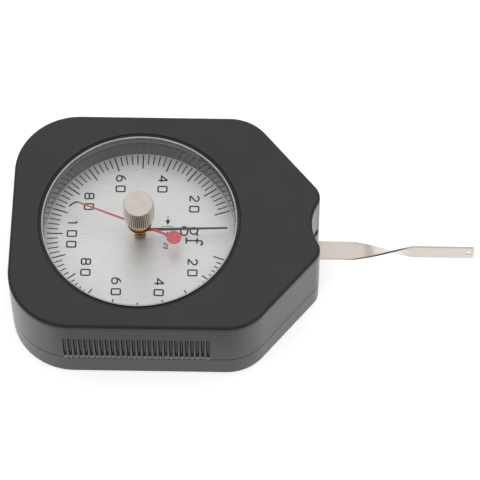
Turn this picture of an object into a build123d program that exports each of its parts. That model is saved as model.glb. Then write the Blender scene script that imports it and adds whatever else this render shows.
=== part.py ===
from build123d import *
import os
from math import acos, asin, atan, cos, degrees, pi, radians, sin, sqrt, tan

# A hand-held dial force gauge with two pointers. Millimetres, +Z out of the dial.
# The origin is on the dial's axis, in the flat back of the case; the lever leaves along +X.

# ------------------------------------------------------------------ case
case_left = 33.0             # dial axis to the rounded end
case_right = 46.5            # dial axis to the flat of the nose
case_width = 63.0            # at the face
case_flare = 0.2             # how far the walls lean out, from the face to the parting line
corner_radius = 16.6
shoulder_x = 28.5            # where each long side turns towards the nose
shoulder_radius = 12.0
nose_width = 18.94
nose_radius = 4.8
parting_height = 7.5
wall = 2.0
nose_wall = 4.0
front_thickness = 2.2
floor_thickness = 2.0
front_edge_radius = 0.9
back_edge_radius = 0.7

scoop_radius = 12.0
scoop_depth = 2.0
scoop_edge_radius = 2.9
slot_height = 2.2
slot_side_gap = 0.25

lip_height = 1.0
lip_thickness = 1.0
lip_gap = 0.1

grip_ribs = 28
grip_pitch = 1.354
grip_groove = 0.84
grip_depth = 0.7
grip_top_depth = 5.8         # from the case's face to the grooves' upper ends
grip_slope = 45.0            # lean of each groove's upper end, degrees

# ------------------------------------------------------------------ window and dial
well_radius = 24.6
well_wall = 2.0
rebate_radius = 26.15
crystal_thickness = 1.4
crystal_gap = 0.1
ring_inner_radius = 24.85
ring_width = 0.55
ring_height = 0.4            # from the crystal up to the case's face
gasket_inner_radius = 25.52
gasket_width = 0.5
gasket_height = 0.25
dial_thickness = 0.5
dial_overlap = 1.0           # how far the dial's rim reaches under the well's wall
dial_hole_radius = 1.3

# ------------------------------------------------------------------ movement plates
plate_thickness = 1.2
rear_plate_room = 0.8        # from the floor to the screws under the rear plate
plate_corner = 3.0
pillar_radius = 2.0
pillar_margin = 1.0          # plate left round a pillar's foot
pillar_spots = [(-14.0, -10.0), (-14.0, 10.0), (18.0, -15.0), (18.0, 15.0)]
spigot_radius = 1.2
press_gap = 0.01
run_gap = 0.03
ear_radius = 2.8
ear_root_share = 0.6         # where an ear's arm starts, between the dial's axis and the ear
ear_spots = [(-18.0, -23.0), (-18.0, 23.0), (30.0, -13.5), (30.0, 13.5)]
ear_boss_radius = 2.4
bearing_radius = 2.0
bearing_flange_radius = 2.7
bearing_flange = 0.4

# ------------------------------------------------------------------ fasteners
screw_radius = 0.95
screw_pilot_gap = 0.02
screw_clearance = 0.15
screw_head_radius = 1.8
screw_head_height = 1.2
screw_depth = 4.5
cover_screw_spots = [(-25.6, -23.6), (-25.6, 23.6), (36.0, -16.5), (36.0, 16.5)]
cover_boss_radius = 2.7
cover_counterbore = 2.2
cover_head_sink = 1.6

# ------------------------------------------------------------------ gear train
module = 0.4
pinion_teeth = 12
sector_full_teeth = 156
sector_teeth = 15
pressure_angle = radians(20)
pinion_addendum = 1.0
sector_addendum = 0.7
dedendum = 1.25
tooth_thinning = 0.035
half_travel = 180.0          # pointer travel to each side, degrees
half_turn = 180.0            # degrees
sector_room = 1.0            # from the rear plate up to the sector
sector_thickness = 1.2
sector_hub_radius = 5.0
sector_rim = 2.6
sector_margin = 0.9          # solid rim beyond the last tooth, degrees
sector_spoke = 3.0
pinion_overhang = 0.35
stop_pin_radius = 0.8
stop_pin_orbit = 20.0
stop_pin_gap = 0.3

arbor_radius = 1.5
arbor_pivot_radius = 0.8
arbor_end_play = 0.15
pinion_arbor_radius = 0.9
pinion_pivot_radius = 0.5

# ------------------------------------------------------------------ lever
lever_width = 5.2
lever_thickness = 0.5
lever_root = 5.2             # arbor axis to the strip's inner end
twist_start = 55.5
twist_end = 71.0
twist_sections = 5
lever_tip = 87.3
tip_hole_inset = 1.4
tip_hole_radius = 0.75
tip_radius = 0.9
lever_hub_radius = 4.4
lever_hub_height = 1.7       # from the sector up to the lever
lever_screw_offset = 3.0
lever_screw_radius = 0.5
lever_screw_head_radius = 0.9
lever_screw_head = 0.55
lever_screw_length = 1.4

# ------------------------------------------------------------------ springs
spring_width = 2.2
spring_thickness = 0.6
spring_lift = 0.5            # above the lever's screw heads
spring_room = 1.65           # from the spring up to the front plate
spring_outer_radius = 7.3
spring_half_turns = 5
spring_end_angle = 180.0     # the outer end faces the dial
collet_radius = 2.6
stud_radius = 0.8
hair_width = 0.5
hair_thickness = 0.14
hair_outer_radius = 5.2
hair_half_turns = 9
hair_end_angle = 90.0
hair_lift = 1.45             # from the pinion up to the hairspring's middle
hair_collet_radius = 1.6

# ------------------------------------------------------------------ pointers
main_angle = 2.3             # the black pointer at rest, degrees from +X
main_length = 22.7
main_root_width = 0.85
main_tip_width = 0.35
main_lift = 2.6              # from the dial up to the black pointer's middle
pointer_thickness = 0.3
main_hub_radius = 1.5
main_hub_height = 2.0
main_eye_radius = 1.2        # round end of the black pointer on its boss

peak_angle = 158.5           # the red pointer at rest, degrees from +X
peak_bend_length = 17.4
peak_reach_length = 19.4
peak_lift = 1.9              # from the black pointer's middle up to the red one's
peak_root_width = 1.0
peak_tip_width = 0.6
peak_tail_radius = 2.1
peak_tail_orbit = 9.4
peak_tail_width = 0.6
hook_gap = 0.3               # the hook's lower end to the black pointer's top

# ------------------------------------------------------------------ knob
knob_radius = 3.95
knob_lift = 1.9              # from the crystal up to the knob
knob_height = 6.6
knob_ridges = 40
knob_ridge_depth = 0.28
knob_chamfer = 0.45
knob_bore_depth = 4.0
stem_radius = 1.2
bush_flange_radius = 3.2
bush_barrel_radius = 2.3
bush_washer_room = 0.3
nut_radius = 3.1
nut_height = 1.2
nut_foot_radius = 2.6
nut_gap = 0.15               # red pointer's top to the nut
peak_hub_radius = 2.3
peak_hub_foot_radius = 1.6
peak_hub_drop = 1.2          # below the red pointer

# ------------------------------------------------------------------ worked-out places
half_width = case_width / 2
grip_radius = grip_groove / 2
centre_distance = module * (pinion_teeth + sector_full_teeth) / 2
lever_travel = half_travel * pinion_teeth / sector_full_teeth
dial_radius = well_radius + dial_overlap
tip_hole_x = lever_tip - tip_hole_inset

# heights, one on another from the floor of the case to the knob
rear_plate_bottom = floor_thickness + rear_plate_room + screw_head_height
rear_plate_top = rear_plate_bottom + plate_thickness
sector_bottom = rear_plate_top + sector_room
sector_top = sector_bottom + sector_thickness
pinion_bottom = sector_bottom - pinion_overhang
pinion_top = sector_top + pinion_overhang
hair_height = pinion_top + hair_lift
lever_bottom = sector_top + lever_hub_height
lever_height = lever_bottom + lever_thickness / 2
lever_top = lever_bottom + lever_thickness
spring_bottom = lever_top + lever_screw_head + spring_lift
front_plate_bottom = spring_bottom + spring_width + spring_room
front_plate_top = front_plate_bottom + plate_thickness
dial_top = front_plate_top + dial_thickness
main_bottom = dial_top + main_lift - pointer_thickness / 2
main_top = main_bottom + pointer_thickness
peak_bottom = main_bottom + peak_lift
peak_top = peak_bottom + pointer_thickness
nut_bottom = peak_top + nut_gap
crystal_seat_height = nut_bottom + nut_height
crystal_top = crystal_seat_height + crystal_thickness
case_height = crystal_top + ring_height
front_inside = case_height - front_thickness
grip_top = case_height - grip_top_depth
knob_foot_height = crystal_top + knob_lift
knob_top_height = knob_foot_height + knob_height

# radii where the spirals start
spring_inner_radius = collet_radius + spring_thickness / 2 + press_gap
hair_inner_radius = hair_collet_radius + hair_thickness / 2 + press_gap


# ------------------------------------------------------------------ helpers
def disc(radius, bottom, top, spot=(0.0, 0.0)):
    """Upright cylinder on a spot, between two heights."""
    return extrude(Plane.XY.offset(bottom) * Pos(*spot) * Circle(radius), top - bottom)


def tube(outer, inner, bottom, top, spot=(0.0, 0.0)):
    """Upright tube on a spot, between two heights."""
    face = Circle(outer) - Circle(inner)
    return extrude(Plane.XY.offset(bottom) * Pos(*spot) * face, top - bottom)


def slab(face, bottom, top):
    """Flat outline made solid between two heights."""
    return extrude(Plane.XY.offset(bottom) * face, top - bottom)


def solids_of(shapes):
    """Separate solids kept side by side in one shape."""
    return Compound(children=[solid for shape in shapes for solid in shape.solids()])


def polar(radius, angle):
    """Point at a radius and an angle in degrees."""
    return (radius * cos(radians(angle)), radius * sin(radians(angle)))


def revolved(points):
    """Profile of (radius, height) points turned about the dial's axis."""
    face = make_face(Plane.XZ * Polyline(*points, close=True))
    return revolve(face, Axis.Z)


def spiral(inner, outer, half_turns, thickness, end):
    """Flat spiral strip of half circles, their centres set to and fro on one line."""
    growth = (outer - inner) / half_turns
    start = end - half_turn * half_turns
    sides = []
    for side in (-thickness / 2, thickness / 2):
        arcs = []
        for step in range(half_turns):
            radius = inner + growth * (step + 0.5) + side
            heading = start + half_turn * step
            arcs.append(CenterArc(polar(-growth / 2, heading), radius, heading, half_turn))
        sides.append(arcs)
    ends = [Line(sides[0][0] @ 0, sides[1][0] @ 0), Line(sides[0][-1] @ 1, sides[1][-1] @ 1)]
    return make_face([*sides[0], *sides[1], *ends])


# ------------------------------------------------------------------ case pieces
def case_corners():
    """Corners of the case's outline on the +Y side, from the nose to the rounded end."""
    return [(case_right, nose_width / 2), (shoulder_x, half_width), (-case_left, half_width)]


def rounded_outline():
    """Outline with rounded corners and a flat nose, at the case's face."""
    upper = case_corners()
    lower = [(x, -y) for x, y in reversed(upper)]
    radii = [nose_radius, shoulder_radius, corner_radius]
    return make_face(FilletPolyline(*upper, *lower, radius=[*radii, *reversed(radii)], close=True))


def case_outline():
    """Whole outline at the case's face, with the nose scooped out."""
    centre = (case_right - scoop_depth + scoop_radius, 0)
    face = rounded_outline() - Pos(*centre) * Circle(scoop_radius)
    tips = face.vertices().group_by(Axis.X)[-1].sort_by(Axis.Y)[1:3]
    return fillet(tips, scoop_edge_radius)


def room_outline(inset):
    """Outline of the room inside, drawn in from the outside and cut square behind the nose."""
    limit = case_right - nose_wall - (inset - wall)
    return offset(rounded_outline(), -inset) & Pos(limit - case_left * 2, 0) * Rectangle(
        case_left * 4, case_width)


def front_body():
    """Front half before it is hollowed: its walls lean out towards the parting line."""
    height = case_height - parting_height
    lean = degrees(atan(case_flare / height))
    body = extrude(Plane.XY.offset(case_height) * case_outline(), -height, taper=-lean)
    return fillet(body.faces().sort_by(Axis.Z)[-1].outer_wire().edges(), front_edge_radius)


def back_body():
    """Back half before it is hollowed: upright walls under the front half's foot."""
    foot = front_body().faces().sort_by(Axis.Z)[0]
    body = extrude(foot, parting_height, dir=(0, 0, -1))
    return fillet(body.faces().sort_by(Axis.Z)[0].edges(), back_edge_radius)


def grip_cutters():
    """Upright half-round grooves, open at the parting line, one row along each long side."""
    section = Circle(grip_radius) + Rectangle(grip_groove, grip_depth, align=(Align.CENTER, Align.MAX))
    low = parting_height - grip_radius
    column = slab(Pos(0, grip_depth - grip_radius) * section, low, grip_top)
    drop = grip_depth * 2 / tan(radians(90 - grip_slope))
    side = make_face(Plane.YZ * Polyline((grip_depth, low), (grip_depth, grip_top - drop),
                                         (-grip_depth, grip_top), (-grip_depth, low), close=True))
    cutter = column & extrude(side, grip_groove, both=True)
    first = -(grip_ribs - 1) / 2 * grip_pitch
    near = [Pos(first + i * grip_pitch, -half_width, 0) * cutter for i in range(grip_ribs)]
    return [*near, *[Rot(0, 0, 180) * groove for groove in near]]


def lever_slot():
    """Slot in the nose that lets the lever swing to both ends of its travel."""
    reach = case_right - centre_distance
    half = reach * tan(radians(lever_travel)) + lever_width / 2 / cos(radians(lever_travel))
    slot = Rectangle(nose_wall * 2, 2 * (half + slot_side_gap))
    return slab(Pos(case_right, 0) * slot, lever_height - slot_height / 2, lever_height + slot_height / 2)


def front_shell():
    """Front half: walls, face, dial well, window rebate, bosses, grips, scoop and slot."""
    shell = front_body()
    shell -= slab(room_outline(wall), parting_height, front_inside)
    bosses = [disc(cover_boss_radius, parting_height, front_inside, spot) for spot in cover_screw_spots]
    bosses += [disc(ear_boss_radius, front_plate_top, front_inside, spot) for spot in ear_spots]
    inside = slab(case_outline(), parting_height, front_inside)
    for boss in bosses:
        shell += boss & inside
    shell += disc(well_radius + well_wall, dial_top, front_inside)
    shell -= disc(well_radius, dial_top, case_height)
    shell -= disc(rebate_radius, crystal_seat_height, case_height)
    pilot = screw_radius + screw_pilot_gap
    holes = [disc(pilot, parting_height, parting_height + screw_depth + pilot, spot)
             for spot in cover_screw_spots]
    holes += [disc(pilot, front_plate_top, front_plate_top + screw_depth + pilot, spot)
              for spot in ear_spots]
    return shell - holes - lever_slot() - grip_cutters()


def back_cover():
    """Rear half: floor, wall, locating lip and four screw posts."""
    cover = back_body() - slab(room_outline(wall), floor_thickness, parting_height)
    lip_outer = room_outline(wall + lip_gap)
    lip_inner = room_outline(wall + lip_gap + lip_thickness)
    lip_root = parting_height - lip_thickness
    lip_face = lip_outer - lip_inner
    cover += slab(room_outline(wall) - lip_inner, lip_root, parting_height)
    lip = slab(lip_face, parting_height, parting_height + lip_height)
    lip -= [disc(cover_boss_radius + lip_gap, parting_height, parting_height + lip_height, spot)
            for spot in cover_screw_spots]
    cover += lip
    body = slab(case_outline(), floor_thickness, parting_height)
    for spot in cover_screw_spots:
        cover += disc(cover_boss_radius, floor_thickness, parting_height, spot) & body
    cover -= [disc(screw_radius + screw_clearance, 0, parting_height, spot) for spot in cover_screw_spots]
    cover -= [disc(cover_counterbore, 0, cover_head_sink, spot) for spot in cover_screw_spots]
    return cover


def pan_screw(spot, seat, up):
    """Screw with its head's flat on the seat; up is +1 where the shank points to +Z."""
    shank_end = seat + up * screw_depth
    shank = disc(screw_radius, min(seat, shank_end), max(seat, shank_end), spot)
    head_end = seat - up * screw_head_height
    return shank + disc(screw_head_radius, min(seat, head_end), max(seat, head_end), spot)


def cover_screws():
    """Four long screws, from their counterbores into the front shell's posts."""
    length = parting_height + screw_depth
    screws = []
    for spot in cover_screw_spots:
        head = disc(screw_head_radius, cover_head_sink - screw_head_height, cover_head_sink, spot)
        screws.append(head + disc(screw_radius, cover_head_sink, length, spot))
    return solids_of(screws)


# ------------------------------------------------------------------ window pieces
def crystal():
    """Clear disc on the well's ledge, with a hole for the bush."""
    barrel_hole = bush_barrel_radius + press_gap
    return tube(rebate_radius - crystal_gap, barrel_hole, crystal_seat_height, crystal_top)


def bezel_ring():
    """Thin bright ring on the crystal."""
    return tube(ring_inner_radius + ring_width, ring_inner_radius, crystal_top, case_height)


def crystal_gasket():
    """Black ring in the groove between bright ring and case."""
    return tube(gasket_inner_radius + gasket_width, gasket_inner_radius, crystal_top,
                crystal_top + gasket_height)


def dial_plate():
    """Thin scale plate, clamped by its rim between the well and the front plate."""
    return tube(dial_radius, dial_hole_radius, front_plate_top, dial_top)


# ------------------------------------------------------------------ movement frame
def arm(start, end, radius):
    """Round-ended flat arm between two points."""
    edges = (Pos(*start) * Circle(radius)).edges() + (Pos(*end) * Circle(radius)).edges()
    return make_hull(edges)


def bearing_spots():
    """The lever's arbor and the pointer's arbor."""
    return {"lever": (centre_distance, 0.0), "pointer": (0.0, 0.0)}


def front_plate():
    """Plate that carries the dial, with four ears and a tongue to the lever's arbor."""
    lever_spot = bearing_spots()["lever"]
    face = Circle(dial_radius)
    face += arm((0, 0), lever_spot, bearing_radius + plate_corner)
    for x, y in ear_spots:
        root = (x * ear_root_share, y * ear_root_share)
        face += arm(root, (x, y), ear_radius)
    plate = slab(face, front_plate_bottom, front_plate_top)
    bores = [(spot, bearing_radius + press_gap) for spot in bearing_spots().values()]
    bores += [(spot, screw_radius + screw_clearance) for spot in ear_spots]
    bores += [(spot, spigot_radius + press_gap) for spot in pillar_spots]
    bores += [(spring_stud_spot(), stud_radius + press_gap), (hair_stud_spot(), stud_radius + press_gap)]
    return plate - [disc(radius, front_plate_bottom, front_plate_top, spot) for spot, radius in bores]


def rear_plate():
    """Lower plate: a rounded hexagon under the gear train."""
    lever_spot = bearing_spots()["lever"]
    spots = [*pillar_spots, lever_spot]
    circles = [(Pos(*spot) * Circle(pillar_radius + pillar_margin)).edges() for spot in spots]
    edges = [edge for group in circles for edge in group]
    plate = slab(make_hull(edges), rear_plate_bottom, rear_plate_top)
    bores = [(spot, bearing_radius + press_gap) for spot in bearing_spots().values()]
    bores += [(spot, screw_radius + screw_clearance) for spot in pillar_spots]
    bores += [(spot, stop_pin_radius + press_gap) for spot in stop_pin_spots()]
    return plate - [disc(radius, rear_plate_bottom, rear_plate_top, spot) for spot, radius in bores]


def pillars():
    """Posts between the plates, each with a spigot in the front plate."""
    posts = []
    for spot in pillar_spots:
        post = disc(pillar_radius, rear_plate_top, front_plate_bottom, spot)
        post += disc(spigot_radius, front_plate_bottom, front_plate_top, spot)
        posts.append(post - disc(screw_radius + screw_pilot_gap, rear_plate_top,
                                 rear_plate_top + screw_depth, spot))
    return solids_of(posts)


def pillar_screws():
    """Screws through the rear plate into the posts."""
    return solids_of([pan_screw(spot, rear_plate_bottom, 1) for spot in pillar_spots])


def movement_screws():
    """Screws through the front plate's ears into the front shell."""
    return solids_of([pan_screw(spot, front_plate_bottom, 1) for spot in ear_spots])


def bearing_pair(spot, pivot_radius):
    """Two flanged bushes on one axis, their flanges facing each other."""
    bore = pivot_radius + run_gap
    lower = tube(bearing_radius, bore, rear_plate_bottom, rear_plate_top, spot)
    lower += tube(bearing_flange_radius, bore, rear_plate_top, rear_plate_top + bearing_flange, spot)
    upper = tube(bearing_radius, bore, front_plate_bottom, front_plate_top, spot)
    upper += tube(bearing_flange_radius, bore, front_plate_bottom - bearing_flange, front_plate_bottom, spot)
    return solids_of([lower, upper])


def stop_pin_spots():
    """Where the sector's edges meet the pins at full travel."""
    half_span = degrees(pi / sector_full_teeth) * sector_teeth + sector_margin
    gap = degrees((stop_pin_radius + stop_pin_gap) / stop_pin_orbit)
    angle = half_span + lever_travel + gap
    return [(centre_distance - stop_pin_orbit * cos(radians(angle)),
             side * stop_pin_orbit * sin(radians(angle))) for side in (-1, 1)]


def stop_pins():
    """Two pins that stand in the rear plate beside the sector."""
    return solids_of([disc(stop_pin_radius, rear_plate_bottom, sector_top, spot) for spot in stop_pin_spots()])


# ------------------------------------------------------------------ gear train
def involute(angle):
    """Involute function of a pressure angle in radians."""
    return tan(angle) - angle


def tooth_points(teeth, addendum, side, steps=5):
    """One flank of a tooth centred on +X, from its root to its tip."""
    pitch = module * teeth / 2
    base = pitch * cos(pressure_angle)
    tip = pitch + module * addendum
    root = pitch - module * dedendum
    half_tooth = pi / 2 / teeth - tooth_thinning / 2 / pitch + involute(pressure_angle)
    points = []
    if root < base:
        points.append((root * cos(half_tooth), side * root * sin(half_tooth)))
    low = max(root, base)
    for step in range(steps + 1):
        radius = low + (tip - low) * step / steps
        angle = half_tooth - involute(acos(min(1.0, base / radius)))
        points.append((radius * cos(angle), side * radius * sin(angle)))
    return points


def gear_tooth(teeth, addendum, inner):
    """Flat tooth, its flanks carried down to an inner radius."""
    right = tooth_points(teeth, addendum, 1)
    left = tooth_points(teeth, addendum, -1)
    shrink = inner / sqrt(right[0][0] ** 2 + right[0][1] ** 2)
    feet = [(x * shrink, y * shrink) for x, y in (left[0], right[0])]
    return make_face(Polyline(*feet, *right, *reversed(left), close=True))


def sector_gear():
    """Toothed sector: rim, two spokes and a round hub, turned by the lever."""
    pitch = module * sector_full_teeth / 2
    root = pitch - module * dedendum
    half_span = degrees(pi / sector_full_teeth) * sector_teeth + sector_margin
    rim = Circle(root) - Circle(root - sector_rim)
    far = root * 2
    wedge = make_face(Polyline((0, 0), polar(far, -half_span), polar(far, half_span), close=True))
    face = rim & wedge
    for side in (-1, 1):
        lean = half_span - degrees(asin(sector_spoke / 2 / (root - sector_rim)))
        spoke = Rectangle(root - sector_rim / 2, sector_spoke, align=(Align.MIN, Align.CENTER))
        face += Rot(0, 0, side * lean) * spoke & wedge
    face += Circle(sector_hub_radius)
    tooth = gear_tooth(sector_full_teeth, sector_addendum, root - module / 2)
    step = 360 / sector_full_teeth
    for i in range(sector_teeth):
        face += Rot(0, 0, (i - (sector_teeth - 1) / 2) * step) * tooth
    face -= Circle(lever_hub_radius / 2 + press_gap)
    turned = Pos(centre_distance, 0) * Rot(0, 0, 180) * face
    return slab(turned, sector_bottom, sector_top)


def pointer_arbor():
    """Arbor with its pinion; the top end passes the dial and carries the black pointer."""
    step = 360 / pinion_teeth
    root = module * pinion_teeth / 2 - module * dedendum
    tooth = gear_tooth(pinion_teeth, pinion_addendum, root - module / 2)
    face = Circle(root)
    for i in range(pinion_teeth):
        face += Rot(0, 0, (i + 0.5) * step) * tooth
    flange_low = rear_plate_top + bearing_flange + arbor_end_play
    flange_high = front_plate_bottom - bearing_flange - arbor_end_play
    arbor = slab(face, pinion_bottom, pinion_top)
    arbor += disc(pinion_arbor_radius, flange_low, flange_high)
    arbor += disc(pinion_pivot_radius, rear_plate_bottom, main_top)
    return arbor


def lever_arbor():
    """Stepped steel arbor that the lever turns on."""
    spot = bearing_spots()["lever"]
    low = rear_plate_top + bearing_flange + arbor_end_play
    high = front_plate_bottom - bearing_flange - arbor_end_play
    return disc(arbor_radius, low, high, spot) + disc(arbor_pivot_radius, rear_plate_bottom,
                                                      front_plate_top - press_gap, spot)


def lever_hub():
    """Brass hub: the lever lies on it and the sector sits on its spigot."""
    spot = bearing_spots()["lever"]
    hub = disc(lever_hub_radius, sector_top, lever_bottom, spot)
    hub += disc(lever_hub_radius / 2, sector_bottom, sector_top, spot)
    hub -= disc(arbor_radius + press_gap, sector_bottom, lever_bottom, spot)
    return hub - [disc(lever_screw_radius + screw_pilot_gap, lever_bottom - lever_screw_length,
                       lever_bottom, place) for place in lever_screw_spots()]


# ------------------------------------------------------------------ lever
def lever_screw_spots():
    """Two screws, in line with the lever, one to each side of the arbor."""
    return [(centre_distance + side * lever_screw_offset, 0) for side in (-1, 1)]


def twisted_section(x, angle):
    """The strip's section across X, turned about X by an angle in degrees."""
    across = (0, cos(radians(angle)), -sin(radians(angle)))
    plane = Plane(origin=(x, 0, lever_height), x_dir=across, z_dir=(1, 0, 0))
    return plane * Rectangle(lever_width, lever_thickness)


def measuring_lever():
    """Steel strip: flat at the root, twisted a quarter turn, on edge to its pierced tip."""
    root_end = centre_distance - lever_root
    flat = Pos((root_end + twist_start) / 2, 0) * Rectangle(twist_start - root_end, lever_width)
    strip = slab(flat, lever_bottom, lever_top)
    sections = []
    for i in range(twist_sections):
        share = i / (twist_sections - 1)
        sections.append(twisted_section(twist_start + (twist_end - twist_start) * share, 90 * share))
    strip += loft(sections)
    side = Plane.XZ * Pos((twist_end + lever_tip) / 2, lever_height) * Rectangle(
        lever_tip - twist_end, lever_width)
    side = fillet(side.vertices().group_by(Axis.X)[-1], tip_radius)
    side -= Plane.XZ * Pos(tip_hole_x, lever_height) * Circle(tip_hole_radius)
    strip += extrude(side, lever_thickness / 2, both=True)
    strip -= disc(arbor_radius + press_gap, lever_bottom, lever_top, bearing_spots()["lever"])
    return strip - [disc(lever_screw_radius + screw_pilot_gap, lever_bottom, lever_top, spot)
                    for spot in lever_screw_spots()]


def lever_screws():
    """Two small screws that clamp the lever to its hub."""
    screws = []
    for spot in lever_screw_spots():
        screw = disc(lever_screw_head_radius, lever_top, lever_top + lever_screw_head, spot)
        screws.append(screw + disc(lever_screw_radius, lever_bottom - lever_screw_length, lever_top, spot))
    return solids_of(screws)


# ------------------------------------------------------------------ springs
def spring_stud_spot():
    """Post at the outer end of the main spring."""
    x, y = polar(spring_outer_radius + spring_thickness / 2 + stud_radius, spring_end_angle)
    return (centre_distance + x, y)


def hair_stud_spot():
    """Post at the outer end of the hairspring."""
    return polar(hair_outer_radius + hair_thickness / 2 + stud_radius, hair_end_angle)


def main_spring():
    """Flat spiral from the arbor's collet out to its stud."""
    face = spiral(spring_inner_radius, spring_outer_radius, spring_half_turns, spring_thickness,
                  spring_end_angle)
    return slab(Pos(centre_distance, 0) * face, spring_bottom, spring_bottom + spring_width)


def main_spring_collet():
    """Brass collar on the arbor that holds the spring's inner end."""
    return tube(collet_radius, arbor_radius + press_gap, lever_top + press_gap,
                spring_bottom + spring_width, bearing_spots()["lever"]) - [
        disc(lever_screw_head_radius + press_gap, lever_top, spring_bottom, spot)
        for spot in lever_screw_spots()]


def main_spring_stud():
    """Post from the front plate down past the main spring's outer end."""
    return disc(stud_radius, spring_bottom, front_plate_top, spring_stud_spot())


def hairspring():
    """Fine spiral round the pointer's arbor."""
    face = spiral(hair_inner_radius, hair_outer_radius, hair_half_turns, hair_thickness, hair_end_angle)
    return slab(face, hair_height - hair_width / 2, hair_height + hair_width / 2)


def hairspring_collet():
    """Small collar on the pointer's arbor."""
    return tube(hair_collet_radius, pinion_arbor_radius + press_gap, hair_height - hair_width,
                hair_height + hair_width)


def hairspring_stud():
    """Post from the front plate down to the hairspring's outer end."""
    return disc(stud_radius, hair_height - hair_width, front_plate_top, hair_stud_spot())


# ------------------------------------------------------------------ pointers
def tapered_bar(start, end, start_width, end_width):
    """Flat bar along +X that narrows from one width to another."""
    return make_face(Polyline((start, -start_width / 2), (end, -end_width / 2), (end, end_width / 2),
                              (start, start_width / 2), close=True))


def main_pointer():
    """Straight black pointer on its boss."""
    face = Circle(main_eye_radius)
    face += tapered_bar(0, main_length, main_root_width, main_tip_width)
    face -= Circle(pinion_pivot_radius + press_gap)
    return slab(Rot(0, 0, main_angle) * face, main_bottom, main_top)


def main_pointer_hub():
    """Brass boss under the black pointer, pressed on the arbor."""
    return tube(main_hub_radius, pinion_pivot_radius + press_gap, main_bottom - main_hub_height, main_bottom)


def peak_pointer():
    """Red pointer: tapered blade, thin tail with a disc, and a hook that bends down at the tip."""
    face = Circle(peak_hub_radius)
    face += tapered_bar(0, peak_bend_length, peak_root_width, peak_tip_width)
    face += tapered_bar(-peak_tail_orbit, 0, peak_tail_width, peak_tail_width)
    face += Pos(-peak_tail_orbit, 0) * Circle(peak_tail_radius)
    face -= Circle(stem_radius + press_gap)
    pointer = slab(face, peak_bottom, peak_top)
    foot = main_top + hook_gap
    hook = make_face(Plane.XZ * Polyline((peak_bend_length, peak_bottom), (peak_reach_length - pointer_thickness, foot),
                                         (peak_reach_length, foot), (peak_bend_length + pointer_thickness / 2, peak_top),
                                         (peak_bend_length, peak_top), close=True))
    pointer += extrude(hook, peak_tip_width / 2, both=True)
    return Rot(0, 0, peak_angle) * pointer


def peak_pointer_hub():
    """Brass cone on the stem's end that carries the red pointer."""
    bore = stem_radius + press_gap
    low = peak_bottom - peak_hub_drop
    return revolved([(bore, low), (peak_hub_foot_radius, low), (peak_hub_radius, peak_bottom),
                     (bore, peak_bottom)])


# ------------------------------------------------------------------ knob
def reset_knob():
    """Knurled knob: straight V ridges, a chamfered top and a blind bore for the stem."""
    points = []
    for i in range(knob_ridges):
        points.append(polar(knob_radius, 360 * i / knob_ridges))
        points.append(polar(knob_radius - knob_ridge_depth, 360 * (i + 0.5) / knob_ridges))
    knurled = slab(make_face(Polyline(*points, close=True)), knob_foot_height, knob_top_height)
    blank = revolved([(0, knob_foot_height), (knob_radius - knob_chamfer, knob_foot_height),
                      (knob_radius, knob_foot_height + knob_chamfer), (knob_radius, knob_top_height - knob_chamfer),
                      (knob_radius - knob_chamfer, knob_top_height), (0, knob_top_height)])
    return (knurled & blank) - disc(stem_radius + press_gap, knob_foot_height, knob_foot_height + knob_bore_depth)


def knob_stem():
    """Brass stem from the knob to the red pointer."""
    return disc(stem_radius, peak_bottom - peak_hub_drop, knob_foot_height + knob_bore_depth - press_gap)


def knob_bush():
    """Flanged bush through the crystal."""
    bore = stem_radius + run_gap
    bush = tube(bush_flange_radius, bore, crystal_top, knob_foot_height - bush_washer_room)
    return bush + tube(bush_barrel_radius, bore, nut_bottom, crystal_top)


def bush_nut():
    """Conical nut that clamps the bush from below the crystal."""
    bore = bush_barrel_radius + press_gap
    return revolved([(bore, nut_bottom), (nut_foot_radius, nut_bottom), (nut_radius, crystal_seat_height),
                     (bore, crystal_seat_height)])


def friction_washer():
    """Spring washer between bush and knob."""
    return tube(bush_flange_radius - bush_washer_room, stem_radius + run_gap,
                knob_foot_height - bush_washer_room + press_gap, knob_foot_height)


# ------------------------------------------------------------------ output
def nodes():
    """Every piece under its node's name."""
    bearings = bearing_spots()
    return {
        "front_shell": front_shell(),
        "back_cover": back_cover(),
        "cover_screws": cover_screws(),
        "crystal": crystal(),
        "bezel_ring": bezel_ring(),
        "crystal_gasket": crystal_gasket(),
        "dial_plate": dial_plate(),
        "front_plate": front_plate(),
        "rear_plate": rear_plate(),
        "pillars": pillars(),
        "pillar_screws": pillar_screws(),
        "movement_screws": movement_screws(),
        "lever_bearings": bearing_pair(bearings["lever"], arbor_pivot_radius),
        "pointer_bearings": bearing_pair(bearings["pointer"], pinion_pivot_radius),
        "stop_pins": stop_pins(),
        "main_spring": main_spring(),
        "main_spring_stud": main_spring_stud(),
        "hairspring": hairspring(),
        "hairspring_stud": hairspring_stud(),
        "knob_bush": knob_bush(),
        "bush_nut": bush_nut(),
        "measuring_lever": measuring_lever(),
        "lever_arbor": lever_arbor(),
        "lever_hub": lever_hub(),
        "lever_screws": lever_screws(),
        "sector_gear": sector_gear(),
        "main_spring_collet": main_spring_collet(),
        "pointer_arbor": pointer_arbor(),
        "hairspring_collet": hairspring_collet(),
        "main_pointer": main_pointer(),
        "main_pointer_hub": main_pointer_hub(),
        "reset_knob": reset_knob(),
        "knob_stem": knob_stem(),
        "friction_washer": friction_washer(),
        "peak_pointer": peak_pointer(),
        "peak_pointer_hub": peak_pointer_hub(),
    }


os.makedirs("parts", exist_ok=True)
for name, piece in nodes().items():
    export_step(piece, f"parts/{name}.step")
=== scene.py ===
from math import cos, pi, radians, sin
import bpy
import numpy as np
from mathutils import Matrix, Vector


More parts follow.
